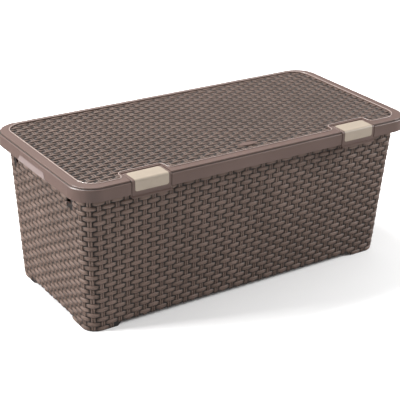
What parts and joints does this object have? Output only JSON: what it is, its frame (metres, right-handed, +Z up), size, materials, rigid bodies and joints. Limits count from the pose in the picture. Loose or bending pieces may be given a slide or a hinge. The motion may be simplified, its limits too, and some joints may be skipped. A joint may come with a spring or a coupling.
{
  "type": "storage box",
  "caption": "Rattan-effect moulded storage box with a rear-hinged lid, a sunk woven lid panel and clip latches along the front edge.",
  "frame": {"origin": "centre of the footprint at floor level, under the four corner feet", "axes": "+X along the length to the right when facing the latches, +Y from the latched front to the hinged back, +Z up"},
  "size_m": [0.7944, 0.386, 0.32],
  "materials": {
    "brown_plastic": "satin moulded plastic, dark grey-brown",
    "beige_plastic": "matt moulded plastic, light beige",
    "pin_plastic": "plain moulded plastic, dark brown"
  },
  "bodies": {
    "tub": {"tub": "brown_plastic", "hinge_pin_left": "pin_plastic", "hinge_pin_right": "pin_plastic"},
    "lid": {"lid": "brown_plastic", "latch_pin_left": "pin_plastic", "latch_pin_right": "pin_plastic"},
    "latch_left": {"latch_left": "brown_plastic", "latch_plate_left": "beige_plastic"},
    "latch_right": {"latch_right": "brown_plastic", "latch_plate_right": "beige_plastic"}
  },
  "joints": [
    {"name": "lid_hinge", "type": "hinge", "parent": "tub", "child": "lid", "pos_m": [0, 0.188, 0.2852], "axis": [-1, 0, 0], "range_deg": [0, 105]},
    {"name": "latch_left_pivot", "type": "hinge", "parent": "lid", "child": "latch_left", "pos_m": [-0.246, -0.1525, 0.3156], "axis": [-1, 0, 0], "range_deg": [0, 90]},
    {"name": "latch_right_pivot", "type": "hinge", "parent": "lid", "child": "latch_right", "pos_m": [0.246, -0.1525, 0.3156], "axis": [-1, 0, 0], "range_deg": [0, 90]}
  ]
}
